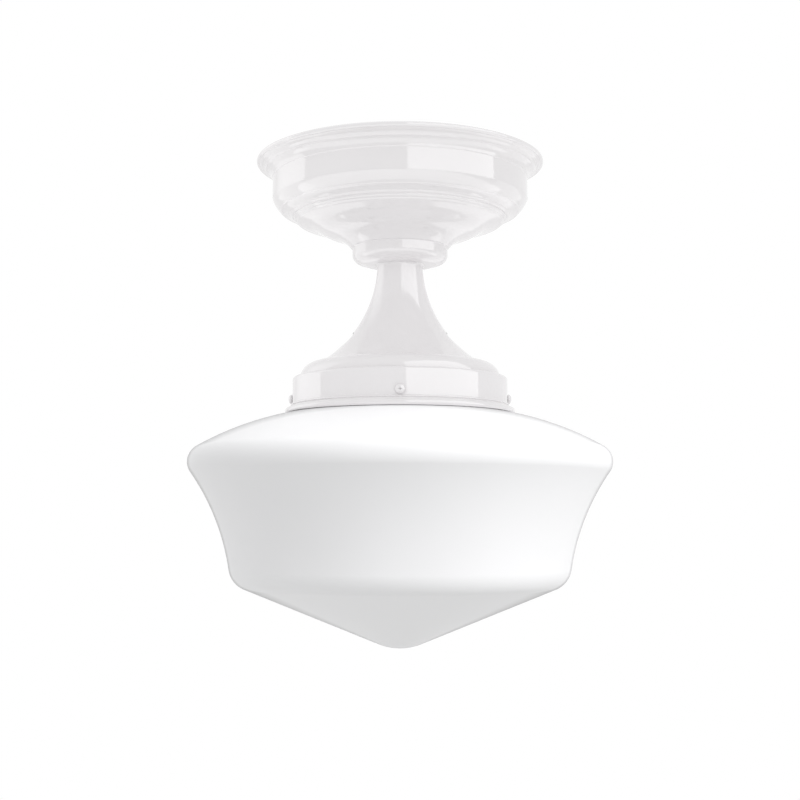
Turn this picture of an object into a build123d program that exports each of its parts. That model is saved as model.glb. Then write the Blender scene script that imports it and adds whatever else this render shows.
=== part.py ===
from build123d import *

import os
from math import asin, cos, degrees, radians, sin

# Schoolhouse semi-flush ceiling light, in millimetres, +Z up.
# The origin is the middle of the mounting bar's top face, in the plane of the ceiling,
# so the whole light hangs below z = 0. The photograph is taken from the -Y side.
# Every turned or spun piece is drawn as an outline of (radius, height) and revolved about Z.

# Canopy: a spun steel pan with a rolled rim, an upright band and a shallow bowl
canopy_wall = 1.1
rim_r = 105.2
rim_roll_r = 2.1
rim_opening_r = 100.9
rim_roll_end = (102.0, -5.2)
rim_step = (100.6, -5.6)
rim_step_middle = (99.3, -6.6)
rim_ridge = (98.4, -8.3)
cove_middle = (95.6, -10.2)
cove_foot = (94.4, -13.6)
cove_corner = (94.2, -14.4)
canopy_band_r = 93.6
canopy_band_top_z = -14.6
canopy_band_foot_z = -29.6
shoulder_middle = (91.7, -33.4)
shoulder_foot = (88.6, -37.1)
ledge_r = 87.4
ledge_foot_z = -38.4
groove_middle = (84.0, -39.1)
groove_foot = (80.4, -41.0)
upper_bead_middle = (79.6, -42.3)
upper_bead_foot = (78.0, -42.8)
middle_bead_middle = (77.6, -44.2)
middle_bead_foot = (76.2, -44.9)
lower_bead_middle = (75.4, -46.0)
bowl_start = (73.6, -46.6)
bowl_middle = (58.5, -52.2)
bowl_foot = (39.6, -60.3)
bowl_cove_middle = (37.4, -62.0)
bowl_end = (36.1, -64.6)
canopy_seat_r = 35.6
canopy_seat_z = -65.0
canopy_hole_r = 19.0

# Screw collar that carries the canopy, and the threaded bushing that it turns on
collar_r = 34.9
collar_top_z = -65.1
collar_band_foot_z = -71.1
collar_round_middle = (33.4, -73.9)
collar_step = (30.2, -75.4)
collar_step_width = 0.4
collar_step_height = 0.3
collar_foot_middle = (26.6, -76.5)
collar_foot_r = 22.5
collar_foot_z = -76.9
thread_clearance = 0.08
bushing_r = 18.0
bushing_top_z = -57.0
bushing_cup_r = 14.0
bushing_web = 4.5

# Trumpet neck: a coved root under the collar, one long flare, and two vent slots
neck_wall = 1.2
neck_root_r = 18.0
neck_root_middle = (17.1, -78.4)
neck_r = 16.7
neck_top_z = -77.9
neck_flare_z = -79.3
neck_lead_in_r = 40.0
neck_lead_in_turn = 5.0
neck_flare_r = 88.0
neck_flare_turn = 53.0
neck_foot_z = -150.2
vent_slot_z = -134.2
vent_slot_length = 28.0
vent_slot_height = 11.5
vent_slot_reach = 60.0

# Shade holder for glass with a six inch lip
holder_plate = 1.6
holder_plate_r = 59.5
holder_shoulder_middle = (68.9, -153.3)
holder_shoulder_inset = 1.1
holder_shoulder_r = 72.6
holder_shoulder_foot_z = -160.0
holder_step_z = -160.9
holder_band_r = 78.0
holder_band_inner_r = 76.2
holder_corner_r = 2.2
holder_band_foot_z = -180.2
holder_bead_r = 79.3
holder_bead_step = 0.5
holder_bead_foot_z = -181.6
skirt_middle = (80.3, -182.5)
skirt_shoulder = (82.5, -183.7)
skirt_r = 83.3
skirt_widest_z = -185.4
skirt_foot = (82.4, -187.4)
skirt_inner_r = 80.3
skirt_inner_foot_z = -187.0
skirt_inner_z = -184.9
holder_vent_count = 6
holder_vent_r = 7.0
holder_vent_circle_r = 36.0

# Screws that hold the glass: M4 pan heads with a cone point, in four tapped holes
glass_screw_count = 4
screw_z = -176.4
screw_r = 2.0
screw_tip_r = 71.0
screw_head_gap = 0.3
screw_head_r = 3.4
screw_head_height = 2.4
screw_head_flat_r = 1.0
screw_head_round = (0.35, 0.95)
screw_recess_length = 3.8
screw_recess_width = 0.9
screw_recess_depth = 1.3

# Opal glass shade: a twelve inch schoolhouse form blown in one piece
shade_r = 152.4
glass_wall = 3.5
glass_neck_r = 70.5
glass_neck_wall = 4.0
lip_r = 74.4
lip_top_z = -168.5
lip_edge_round = 0.8
lip_taper = 2.0
lip_screw_gap = 0.15
neck_fillet_z = -182.95
neck_fillet_r = 3.2
shoulder_start_slope = 8.8
shoulder_end_slope = 30.0
edge_round_r = 12.5
flare_start_slope = 35.0
flare_end_slope = 8.85
flare_round_r = 165.0
corner_round_r = 17.5
cone_slope = 22.3
tip_round_r = 42.0

# Mounting bar, threaded pipe and lock nuts. The pipe's 10.2 mm thread is 1/8 IP
bar_length = 102.0
bar_width = 20.0
bar_thickness = 2.0
bar_slot_spacing = 88.9
bar_slot_length = 11.0
bar_slot_width = 4.6
ground_screw_x = -27.0
ground_screw_r = 2.4
ground_head_across = 8.0
ground_head_height = 2.6
ground_flange = 1.0
pipe_r = 5.1
pipe_bore_r = 3.5
pipe_foot_z = -163.4
nut_across = 14.3
nut_height = 4.0
nut_chamfer = 0.5
washer_height = 1.2
lock_washer_r = 8.0
lock_washer_gap = 1.6
neck_washer_r = 10.5
holder_washer_r = 15.0

# Lamp socket for the medium screw base
cap_top_z = -157.6
cap_hub_r = 8.2
cap_plate_z = -163.4
cap_plate = 1.6
cap_r = 20.5
socket_upper_r = 19.5
socket_step_z = -179.0
socket_lower_r = 21.5
socket_foot_z = -212.0
socket_cavity_r = 13.7
socket_cavity_z = -183.0
socket_wire_r = 4.2
socket_round = 1.5
shell_inner_r = 13.2
shell_top_z = -184.0
shell_foot_z = -211.0
contact_r = 5.5
contact_plate = 1.2
contact_button_r = 3.0
contact_foot_z = -185.9
terminal_z = -171.5
terminal_shank_r = 1.8
terminal_depth = 5.5
terminal_head_r = 3.6
terminal_head_height = 2.0
cap_screw_x = 13.5
cap_screw_r = 1.6
cap_screw_head_r = 3.0
cap_screw_head_height = 1.8
cap_screw_depth = 9.0

# Lamp: an LED bulb of the common 60 mm pear shape
tip_top_z = -186.0
tip_foot_z = -187.6
tip_r = 4.6
tip_round = (3.9, -186.5)
insulator_foot_z = -190.4
insulator_r = 11.6
insulator_step = 0.8
lamp_base_r = 13.1
lamp_base_wall = 0.5
lamp_base_turn_in = 2.0
lamp_base_shoulder = 1.5
lamp_base_foot_z = -212.4
lamp_neck_r = 14.6
lamp_neck_z = -215.0
lamp_flare_middle = (19.6, -229.0)
lamp_flare_inner_middle = (18.3, -229.6)
lamp_seam_r = 27.4
lamp_seam_z = -241.0
lamp_wall = 1.4
lamp_cheek_middle = (29.4, -251.0)
lamp_cheek_inner_middle = (28.0, -251.2)
lamp_r = 30.0
lamp_widest_z = -264.0
led_plate_r = 24.0
led_plate = 1.6

os.makedirs("parts", exist_ok=True)


def lock_nut(top_z):
    """A thin hex nut on the pipe, hanging down from top_z."""
    with BuildPart() as nut:
        with BuildSketch(Plane.XY.offset(top_z - nut_height)):
            RegularPolygon(nut_across / 2, side_count=6, major_radius=False)
            Circle(pipe_r, mode=Mode.SUBTRACT)
        extrude(amount=nut_height)
        flats_edges = nut.edges().filter_by(GeomType.LINE).group_by(Axis.Z)
        chamfer(flats_edges[0] + flats_edges[-1], nut_chamfer)
    return nut


def flat_washer(top_z, outer_r):
    """A plain washer on the pipe, hanging down from top_z."""
    with BuildPart() as ring:
        with BuildSketch(Plane.XY.offset(top_z - washer_height)):
            Circle(outer_r)
            Circle(pipe_r, mode=Mode.SUBTRACT)
        extrude(amount=washer_height)
    return ring


# Mounting bar: two slots take the ceiling box screws, the middle hole is tapped for the pipe
with BuildPart() as crossbar:
    with BuildSketch(Plane.XY.offset(-bar_thickness)):
        RectangleRounded(bar_length, bar_width, bar_width / 4)
        Circle(pipe_r, mode=Mode.SUBTRACT)
        with GridLocations(bar_slot_spacing, 0, 2, 1):
            SlotOverall(bar_slot_length, bar_slot_width, mode=Mode.SUBTRACT)
        with Locations((ground_screw_x, 0)):
            Circle(ground_screw_r, mode=Mode.SUBTRACT)
    extrude(amount=bar_thickness)
crossbar.part.label = "crossbar"
export_step(crossbar.part, "parts/crossbar.step")

# Hollow threaded pipe from the mounting bar to the socket, with the wires' way inside
with BuildPart() as stem_pipe:
    with BuildSketch(Plane.XY.offset(pipe_foot_z)):
        Circle(pipe_r)
        Circle(pipe_bore_r, mode=Mode.SUBTRACT)
    extrude(amount=-pipe_foot_z)
stem_pipe.part.label = "stem_pipe"
export_step(stem_pipe.part, "parts/stem_pipe.step")

# Split spring washer under the bar
with BuildPart() as crossbar_lock_washer:
    with BuildSketch(Plane.XY.offset(-bar_thickness - washer_height)):
        Circle(lock_washer_r)
        Circle(pipe_r, mode=Mode.SUBTRACT)
        with Locations((lock_washer_r, 0)):
            Rectangle(lock_washer_r, lock_washer_gap, mode=Mode.SUBTRACT)
    extrude(amount=washer_height)
crossbar_lock_washer.part.label = "crossbar_lock_washer"
export_step(crossbar_lock_washer.part, "parts/crossbar_lock_washer.step")

crossbar_locknut = lock_nut(-bar_thickness - washer_height)
crossbar_locknut.part.label = "crossbar_locknut"
export_step(crossbar_locknut.part, "parts/crossbar_locknut.step")

# Hex washer head screw for the earth wire
with BuildPart() as ground_screw:
    with BuildSketch(Plane.XY.offset(-bar_thickness)):
        with Locations((ground_screw_x, 0)):
            Circle(ground_screw_r)
    extrude(amount=bar_thickness)
    with BuildSketch(Plane.XY.offset(-bar_thickness)):
        with Locations((ground_screw_x, 0)):
            Circle(ground_head_across / 2 + ground_flange)
    extrude(amount=-washer_height / 2)
    with BuildSketch(Plane.XY.offset(-bar_thickness)):
        with Locations((ground_screw_x, 0)):
            RegularPolygon(ground_head_across / 2, side_count=6, major_radius=False)
    extrude(amount=-ground_head_height)
    with BuildSketch(Plane.XY.offset(-bar_thickness - ground_head_height)):
        with Locations((ground_screw_x, 0)):
            Rectangle(ground_head_across, screw_recess_width)
    extrude(amount=screw_recess_depth, mode=Mode.SUBTRACT)
ground_screw.part.label = "ground_screw"
export_step(ground_screw.part, "parts/ground_screw.step")

# Threaded bushing: an open cup whose outside thread carries the screw collar
bushing_web_z = neck_top_z + bushing_web
with BuildPart() as collar_bushing:
    with BuildSketch(Plane.XZ):
        with BuildLine():
            Polyline(
                (pipe_r, neck_top_z),
                (bushing_r, neck_top_z),
                (bushing_r, bushing_top_z),
                (bushing_cup_r, bushing_top_z),
                (bushing_cup_r, bushing_web_z),
                (pipe_r, bushing_web_z),
                close=True,
            )
        make_face()
    revolve(axis=Axis.Z)
collar_bushing.part.label = "collar_bushing"
export_step(collar_bushing.part, "parts/collar_bushing.step")

bushing_locknut = lock_nut(bushing_web_z + nut_height)
bushing_locknut.part.label = "bushing_locknut"
export_step(bushing_locknut.part, "parts/bushing_locknut.step")


def inside(point):
    """The place on the canopy's inner face behind a point of its sloping outer face."""
    return (point[0] - canopy_wall / 3, point[1] + canopy_wall)


# Canopy: the outer face runs from the rim down to the seat on the collar, and the inner
# face follows it back up about one wall thickness away, without the beads
rim_flat_r = rim_r - rim_roll_r
rim_foot_z = -2 * rim_roll_r
with BuildPart() as canopy:
    with BuildSketch(Plane.XZ):
        with BuildLine():
            Line((rim_opening_r, 0), (rim_flat_r, 0))
            ThreePointArc((rim_flat_r, 0), (rim_r, -rim_roll_r), (rim_flat_r, rim_foot_z))
            ThreePointArc((rim_flat_r, rim_foot_z), rim_roll_end, rim_step)
            ThreePointArc(rim_step, rim_step_middle, rim_ridge)
            ThreePointArc(rim_ridge, cove_middle, cove_foot)
            ThreePointArc(cove_foot, cove_corner, (canopy_band_r, canopy_band_top_z))
            Line((canopy_band_r, canopy_band_top_z), (canopy_band_r, canopy_band_foot_z))
            ThreePointArc((canopy_band_r, canopy_band_foot_z), shoulder_middle, shoulder_foot)
            Polyline(shoulder_foot, (ledge_r, shoulder_foot[1]), (ledge_r, ledge_foot_z))
            ThreePointArc((ledge_r, ledge_foot_z), groove_middle, groove_foot)
            ThreePointArc(groove_foot, upper_bead_middle, upper_bead_foot)
            ThreePointArc(upper_bead_foot, middle_bead_middle, middle_bead_foot)
            ThreePointArc(middle_bead_foot, lower_bead_middle, bowl_start)
            ThreePointArc(bowl_start, bowl_middle, bowl_foot)
            ThreePointArc(bowl_foot, bowl_cove_middle, bowl_end)
            Polyline(
                bowl_end,
                (canopy_seat_r, canopy_seat_z),
                (canopy_hole_r, canopy_seat_z),
                (canopy_hole_r, canopy_seat_z + canopy_wall),
                (canopy_seat_r - canopy_wall, canopy_seat_z + canopy_wall),
                inside(bowl_foot),
            )
            ThreePointArc(inside(bowl_foot), inside(bowl_middle), inside(bowl_start))
            Polyline(inside(bowl_start), inside(groove_foot), inside((ledge_r, ledge_foot_z)))
            Line(inside((ledge_r, ledge_foot_z)), inside(shoulder_foot))
            ThreePointArc(
                inside(shoulder_foot),
                (shoulder_middle[0] - canopy_wall, shoulder_middle[1] + canopy_wall / 2),
                (canopy_band_r - canopy_wall, canopy_band_foot_z),
            )
            Polyline(
                (canopy_band_r - canopy_wall, canopy_band_foot_z),
                (canopy_band_r - canopy_wall, canopy_band_top_z),
                (cove_foot[0] - canopy_wall, cove_foot[1] + canopy_wall / 2),
            )
            ThreePointArc(
                (cove_foot[0] - canopy_wall, cove_foot[1] + canopy_wall / 2),
                (cove_middle[0] - canopy_wall, cove_middle[1] + canopy_wall / 2),
                inside(rim_ridge),
            )
            Polyline(
                inside(rim_ridge),
                inside(rim_step),
                (rim_opening_r, rim_step[1] + 2 * canopy_wall),
                (rim_opening_r, 0),
            )
        make_face()
    revolve(axis=Axis.Z)
canopy.part.label = "canopy"
export_step(canopy.part, "parts/canopy.step")

# Screw collar: a plain band with a rounded, stepped underside
collar_bore_r = bushing_r + thread_clearance
collar_step_top = (collar_step[0] - collar_step_width, collar_step[1] + collar_step_height)
with BuildPart() as canopy_collar:
    with BuildSketch(Plane.XZ):
        with BuildLine():
            Polyline(
                (collar_bore_r, collar_foot_z),
                (collar_bore_r, collar_top_z),
                (collar_r, collar_top_z),
                (collar_r, collar_band_foot_z),
            )
            ThreePointArc((collar_r, collar_band_foot_z), collar_round_middle, collar_step)
            Line(collar_step, collar_step_top)
            ThreePointArc(collar_step_top, collar_foot_middle, (collar_foot_r, collar_foot_z))
            Line((collar_foot_r, collar_foot_z), (collar_bore_r, collar_foot_z))
        make_face()
    revolve(axis=Axis.Z)
canopy_collar.part.label = "canopy_collar"
export_step(canopy_collar.part, "parts/canopy_collar.step")


def flare_curve(inset):
    """The neck's flare below its straight end, drawn in from the outer face by inset."""
    lead_in_r = neck_lead_in_r + inset
    flare_r = neck_flare_r + inset
    lead_in = JernArc((neck_r - inset, neck_flare_z), (0, -1), lead_in_r, neck_lead_in_turn)
    if inset:
        drop = (lead_in @ 1).Y - neck_foot_z
        turn = degrees(asin(drop / flare_r + sin(radians(neck_lead_in_turn)))) - neck_lead_in_turn
    else:
        turn = neck_flare_turn
    return JernArc(lead_in @ 1, lead_in % 1, flare_r, turn)


# Trumpet neck: closed by a plate at the top, open at the foot, where it sits on the holder
with BuildPart() as neck:
    with BuildSketch(Plane.XZ):
        with BuildLine():
            ThreePointArc((neck_root_r, neck_top_z), neck_root_middle, (neck_r, neck_flare_z))
            outer_flare = flare_curve(0)
            inner_flare = flare_curve(neck_wall)
            Polyline(
                outer_flare @ 1,
                ((outer_flare @ 1).X, neck_foot_z),
                inner_flare @ 1,
            )
            Polyline(
                (neck_r - neck_wall, neck_flare_z),
                (neck_r - neck_wall, neck_top_z - neck_wall),
                (pipe_r, neck_top_z - neck_wall),
                (pipe_r, neck_top_z),
                (neck_root_r, neck_top_z),
            )
        make_face()
    revolve(axis=Axis.Z)
    with BuildSketch(Plane.YZ):
        with Locations((0, vent_slot_z)):
            SlotOverall(vent_slot_length, vent_slot_height)
    extrude(amount=vent_slot_reach, both=True, mode=Mode.SUBTRACT)
neck.part.label = "neck"
export_step(neck.part, "parts/neck.step")

neck_washer = flat_washer(neck_top_z - neck_wall, neck_washer_r)
neck_washer.part.label = "neck_washer"
export_step(neck_washer.part, "parts/neck_washer.step")

neck_locknut = lock_nut(neck_top_z - neck_wall - washer_height)
neck_locknut.part.label = "neck_locknut"
export_step(neck_locknut.part, "parts/neck_locknut.step")

# Shade holder: a plate with vent holes, a rounded shoulder, the tapped band and a flared skirt
holder_inner_z = neck_foot_z - holder_plate
holder_shoulder_inner = (
    holder_shoulder_middle[0] - holder_shoulder_inset,
    holder_shoulder_middle[1] - holder_shoulder_inset,
)
with BuildPart() as shade_holder:
    with BuildSketch(Plane.XZ):
        with BuildLine():
            Line((pipe_r, neck_foot_z), (holder_plate_r, neck_foot_z))
            ThreePointArc(
                (holder_plate_r, neck_foot_z),
                holder_shoulder_middle,
                (holder_shoulder_r, holder_shoulder_foot_z),
            )
            Polyline(
                (holder_shoulder_r, holder_shoulder_foot_z),
                (holder_shoulder_r, holder_step_z),
                (holder_band_r - holder_corner_r, holder_step_z),
            )
            JernArc(
                (holder_band_r - holder_corner_r, holder_step_z), (1, 0), holder_corner_r, -90
            )
            Polyline(
                (holder_band_r, holder_step_z - holder_corner_r),
                (holder_band_r, holder_band_foot_z),
                (holder_bead_r - holder_bead_step, holder_band_foot_z),
            )
            ThreePointArc(
                (holder_bead_r - holder_bead_step, holder_band_foot_z),
                (holder_bead_r, (holder_band_foot_z + holder_bead_foot_z) / 2),
                (holder_bead_r - holder_bead_step, holder_bead_foot_z),
            )
            ThreePointArc(
                (holder_bead_r - holder_bead_step, holder_bead_foot_z),
                skirt_middle,
                skirt_shoulder,
            )
            ThreePointArc(skirt_shoulder, (skirt_r, skirt_widest_z), skirt_foot)
            Polyline(
                skirt_foot,
                (skirt_inner_r, skirt_inner_foot_z),
                (skirt_inner_r, skirt_inner_z),
                (holder_band_inner_r, holder_bead_foot_z),
                (holder_band_inner_r, holder_step_z - holder_plate),
                (holder_shoulder_r - holder_plate, holder_step_z - holder_plate),
                (holder_shoulder_r - holder_plate, holder_shoulder_foot_z),
            )
            ThreePointArc(
                (holder_shoulder_r - holder_plate, holder_shoulder_foot_z),
                holder_shoulder_inner,
                (holder_plate_r, holder_inner_z),
            )
            Polyline(
                (holder_plate_r, holder_inner_z),
                (pipe_r, holder_inner_z),
                (pipe_r, neck_foot_z),
            )
        make_face()
    revolve(axis=Axis.Z)
    with BuildSketch(Plane.XY.offset(neck_foot_z)):
        with PolarLocations(holder_vent_circle_r, holder_vent_count):
            Circle(holder_vent_r)
    extrude(amount=-holder_plate, mode=Mode.SUBTRACT)
    for wall_plane in (Plane.XZ, Plane.YZ):
        with BuildSketch(wall_plane):
            with Locations((0, screw_z)):
                Circle(screw_r + thread_clearance / 2)
        extrude(amount=holder_band_r + 1, both=True, mode=Mode.SUBTRACT)
shade_holder.part.label = "shade_holder"
export_step(shade_holder.part, "parts/shade_holder.step")

holder_washer = flat_washer(holder_inner_z, holder_washer_r)
holder_washer.part.label = "holder_washer"
export_step(holder_washer.part, "parts/holder_washer.step")

holder_locknut = lock_nut(holder_inner_z - washer_height)
holder_locknut.part.label = "holder_locknut"
export_step(holder_locknut.part, "parts/holder_locknut.step")

# Glass screws, numbered from the front one round to the right, the back and the left
screw_seat_r = holder_band_r + screw_head_gap
screw_head_end_r = screw_seat_r + screw_head_height
for number in range(1, glass_screw_count + 1):
    turn = radians(-90 + (number - 1) * 360 / glass_screw_count)
    outward = (cos(turn), sin(turn), 0)
    upright = Plane(origin=(0, 0, screw_z), x_dir=outward, z_dir=(sin(turn), -cos(turn), 0))
    head_face = Plane(
        origin=(screw_head_end_r * cos(turn), screw_head_end_r * sin(turn), screw_z),
        x_dir=(0, 0, 1),
        z_dir=outward,
    )
    with BuildPart() as glass_screw:
        with BuildSketch(upright):
            with BuildLine():
                Polyline(
                    (screw_tip_r, 0),
                    (screw_tip_r + screw_r, screw_r),
                    (screw_seat_r, screw_r),
                    (screw_seat_r, screw_head_r),
                    (screw_seat_r + screw_head_height / 2, screw_head_r),
                )
                ThreePointArc(
                    (screw_seat_r + screw_head_height / 2, screw_head_r),
                    (screw_head_end_r - screw_head_round[0], screw_head_r - screw_head_round[1]),
                    (screw_head_end_r, screw_head_flat_r),
                )
                Polyline(
                    (screw_head_end_r, screw_head_flat_r), (screw_head_end_r, 0), (screw_tip_r, 0)
                )
            make_face()
        revolve(axis=Axis((0, 0, screw_z), outward))
        with BuildSketch(head_face):
            Rectangle(screw_recess_length, screw_recess_width)
            Rectangle(screw_recess_width, screw_recess_length)
        extrude(amount=-screw_recess_depth, mode=Mode.SUBTRACT)
    glass_screw.part.label = f"glass_screw_{number}"
    export_step(glass_screw.part, f"parts/glass_screw_{number}.step")

# The shoulder's radius follows from the shade's overall radius, and the cone's length
# from the need to meet the rounded tip on the axis
start_sine = sin(radians(shoulder_start_slope))
end_sine = sin(radians(shoulder_end_slope))
shoulder_reach = shade_r - glass_neck_r - neck_fillet_r * (1 - start_sine)
shoulder_reach = shoulder_reach - edge_round_r * (1 - end_sine)
shoulder_round_r = shoulder_reach / (end_sine - start_sine)


def glass_surface(inset):
    """The shade's face from the neck's foot to the lowest point, drawn in by inset."""
    foot = (glass_neck_r - inset, neck_fillet_z)
    neck_fillet = JernArc(foot, (0, -1), neck_fillet_r + inset, 90 - shoulder_start_slope)
    shoulder = JernArc(
        neck_fillet @ 1,
        neck_fillet % 1,
        shoulder_round_r - inset,
        shoulder_start_slope - shoulder_end_slope,
    )
    edge = JernArc(
        shoulder @ 1,
        shoulder % 1,
        edge_round_r - inset,
        shoulder_end_slope - 90 - flare_start_slope,
    )
    flare = JernArc(
        edge @ 1, edge % 1, flare_round_r + inset, flare_start_slope - flare_end_slope
    )
    corner = JernArc(
        flare @ 1, flare % 1, corner_round_r - inset, flare_end_slope - 90 + cone_slope
    )
    tip_reach = (tip_round_r - inset) * sin(radians(cone_slope))
    cone_length = ((corner @ 1).X - tip_reach) / cos(radians(cone_slope))
    cone = Line(corner @ 1, corner @ 1 + (corner % 1) * cone_length)
    return ThreePointArc(
        cone @ 1,
        (
            (tip_round_r - inset) * sin(radians(cone_slope / 2)),
            (cone @ 1).Y
            - (tip_round_r - inset) * (cos(radians(cone_slope / 2)) - cos(radians(cone_slope))),
        ),
        (0, (cone @ 1).Y - (tip_round_r - inset) * (1 - cos(radians(cone_slope)))),
    )


# Shade: the lip's underside slopes at 45 degrees, parallel to the screws' cone points
lip_foot_z = screw_z + glass_neck_r - screw_tip_r + lip_screw_gap
lip_edge_z = screw_z + lip_r - screw_tip_r + lip_screw_gap
with BuildPart() as shade:
    with BuildSketch(Plane.XZ):
        with BuildLine():
            outer_tip = glass_surface(0)
            inner_tip = glass_surface(glass_wall)
            Line(outer_tip @ 1, inner_tip @ 1)
            Polyline(
                (glass_neck_r, neck_fillet_z),
                (glass_neck_r, lip_foot_z),
                (lip_r, lip_edge_z),
                (lip_r, lip_top_z - lip_edge_round),
            )
            JernArc((lip_r, lip_top_z - lip_edge_round), (0, 1), lip_edge_round, 90)
            Polyline(
                (lip_r - lip_edge_round, lip_top_z),
                (glass_neck_r - glass_neck_wall, lip_top_z),
                (glass_neck_r - glass_neck_wall, neck_fillet_z + lip_taper),
                (glass_neck_r - glass_wall, neck_fillet_z),
            )
        make_face()
    revolve(axis=Axis.Z)
shade.part.label = "shade"
export_step(shade.part, "parts/shade.step")

# Socket cap: a hub tapped for the pipe on a round plate
with BuildPart() as socket_cap:
    with BuildSketch(Plane.XY.offset(cap_plate_z)):
        Circle(cap_hub_r)
        Circle(pipe_r, mode=Mode.SUBTRACT)
    extrude(amount=cap_top_z - cap_plate_z)
    with BuildSketch(Plane.XY.offset(cap_plate_z)):
        Circle(cap_r)
        Circle(pipe_bore_r, mode=Mode.SUBTRACT)
        with GridLocations(2 * cap_screw_x, 0, 2, 1):
            Circle(cap_screw_r, mode=Mode.SUBTRACT)
    extrude(amount=-cap_plate)
socket_cap.part.label = "socket_cap"
export_step(socket_cap.part, "parts/socket_cap.step")

# Glazed porcelain body
socket_top_z = cap_plate_z - cap_plate
with BuildPart() as socket_body:
    with BuildSketch(Plane.XZ):
        with BuildLine():
            Polyline(
                (socket_wire_r, socket_top_z),
                (socket_upper_r - socket_round, socket_top_z),
                (socket_upper_r, socket_top_z - socket_round),
                (socket_upper_r, socket_step_z),
                (socket_lower_r, socket_step_z - socket_round),
                (socket_lower_r, socket_foot_z + socket_round),
                (socket_lower_r - socket_round, socket_foot_z),
                (socket_cavity_r, socket_foot_z),
                (socket_cavity_r, socket_cavity_z),
                (socket_wire_r, socket_cavity_z),
                close=True,
            )
        make_face()
    revolve(axis=Axis.Z)
    with BuildSketch(Plane.XY.offset(socket_top_z)):
        with GridLocations(2 * cap_screw_x, 0, 2, 1):
            Circle(cap_screw_r)
    extrude(amount=-cap_screw_depth, mode=Mode.SUBTRACT)
    for side in (-1, 1):
        with BuildSketch(Plane.XZ.offset(-side * socket_upper_r)):
            with Locations((0, terminal_z)):
                Circle(terminal_shank_r)
        extrude(amount=side * terminal_depth, mode=Mode.SUBTRACT)
socket_body.part.label = "socket_body"
export_step(socket_body.part, "parts/socket_body.step")

# Screw shell that grips the lamp's base
with BuildPart() as socket_screw_shell:
    with BuildSketch(Plane.XY.offset(shell_foot_z)):
        Circle(socket_cavity_r)
        Circle(shell_inner_r, mode=Mode.SUBTRACT)
    extrude(amount=shell_top_z - shell_foot_z)
socket_screw_shell.part.label = "socket_screw_shell"
export_step(socket_screw_shell.part, "parts/socket_screw_shell.step")

# Centre contact: a riveted plate with a raised button
with BuildPart() as socket_centre_contact:
    with BuildSketch(Plane.XY.offset(socket_cavity_z - contact_plate)):
        Circle(contact_r)
    extrude(amount=contact_plate)
    with BuildSketch(Plane.XY.offset(contact_foot_z)):
        Circle(contact_button_r)
    extrude(amount=socket_cavity_z - contact_plate - contact_foot_z)
socket_centre_contact.part.label = "socket_centre_contact"
export_step(socket_centre_contact.part, "parts/socket_centre_contact.step")

# Two terminal screws for the supply wires, front and back
with BuildPart() as socket_terminal_screws:
    for side in (-1, 1):
        with BuildSketch(Plane.XZ.offset(-side * socket_upper_r)):
            with Locations((0, terminal_z)):
                Circle(terminal_shank_r)
        extrude(amount=side * terminal_depth)
        with BuildSketch(Plane.XZ.offset(-side * socket_upper_r)):
            with Locations((0, terminal_z)):
                Circle(terminal_head_r)
        extrude(amount=-side * terminal_head_height)
        with BuildSketch(Plane.XZ.offset(-side * (socket_upper_r + terminal_head_height))):
            with Locations((0, terminal_z)):
                Rectangle(2 * terminal_head_r, screw_recess_width)
        extrude(amount=side * terminal_head_height / 2, mode=Mode.SUBTRACT)
socket_terminal_screws.part.label = "socket_terminal_screws"
export_step(socket_terminal_screws.part, "parts/socket_terminal_screws.step")

# Two screws from the cap into the porcelain
with BuildPart() as socket_cap_screws:
    with BuildSketch(Plane.XY.offset(cap_plate_z)):
        with GridLocations(2 * cap_screw_x, 0, 2, 1):
            Circle(cap_screw_r)
    extrude(amount=-cap_plate - cap_screw_depth)
    with BuildSketch(Plane.XY.offset(cap_plate_z)):
        with GridLocations(2 * cap_screw_x, 0, 2, 1):
            Circle(cap_screw_head_r)
    extrude(amount=cap_screw_head_height)
    with BuildSketch(Plane.XY.offset(cap_plate_z + cap_screw_head_height)):
        with GridLocations(2 * cap_screw_x, 0, 2, 1):
            Rectangle(2 * cap_screw_head_r, screw_recess_width)
    extrude(amount=-cap_screw_head_height / 2, mode=Mode.SUBTRACT)
socket_cap_screws.part.label = "socket_cap_screws"
export_step(socket_cap_screws.part, "parts/socket_cap_screws.step")

# Lamp tip: the solder button that meets the centre contact
with BuildPart() as bulb_tip:
    with BuildSketch(Plane.XZ):
        with BuildLine():
            Line((0, tip_foot_z), (0, tip_top_z))
            Line((0, tip_top_z), (tip_r / 2, tip_top_z))
            ThreePointArc((tip_r / 2, tip_top_z), tip_round, (tip_r, tip_foot_z))
            Line((tip_r, tip_foot_z), (0, tip_foot_z))
        make_face()
    revolve(axis=Axis.Z)
bulb_tip.part.label = "bulb_tip"
export_step(bulb_tip.part, "parts/bulb_tip.step")

# Insulating cone between the tip and the screw base
with BuildPart() as bulb_insulator:
    with BuildSketch(Plane.XZ):
        with BuildLine():
            Polyline(
                (0, tip_foot_z),
                (tip_r + insulator_step, tip_foot_z),
                (insulator_r, insulator_foot_z),
                (0, insulator_foot_z),
                close=True,
            )
        make_face()
    revolve(axis=Axis.Z)
bulb_insulator.part.label = "bulb_insulator"
export_step(bulb_insulator.part, "parts/bulb_insulator.step")

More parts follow.
